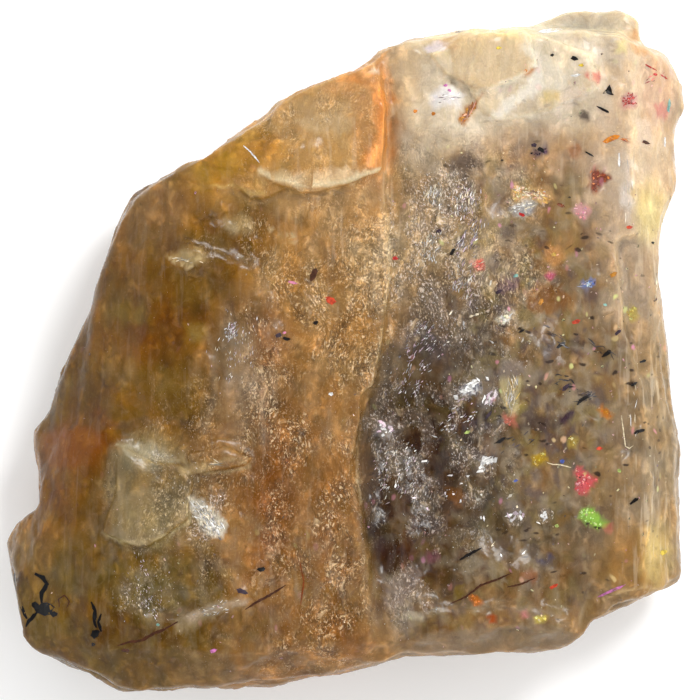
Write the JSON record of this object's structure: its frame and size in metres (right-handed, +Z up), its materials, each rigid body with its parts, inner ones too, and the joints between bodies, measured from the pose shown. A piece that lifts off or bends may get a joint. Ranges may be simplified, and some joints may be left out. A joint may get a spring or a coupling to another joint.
{
  "type": "rough sunstone",
  "caption": "Rough sunstone: a broken cleavage slab of translucent feldspar with glittering platelets inside, lying on its flat lower cleavage face.",
  "frame": {"origin": "centre of the bounding box, on the plane of the flat lower cleavage face", "axes": "+X across the slab towards its straight striated side, +Y along the slab towards its top corner block, +Z up, out of the broken top"},
  "size_m": [0.0354, 0.0356, 0.0086],
  "materials": {
    "feldspar": "translucent honey, tan and smoky feldspar, vitreous on fresh cleavage with fine glittering platelets inside"
  },
  "bodies": {
    "root": {"rough_sunstone": "feldspar"}
  },
  "joints": []
}
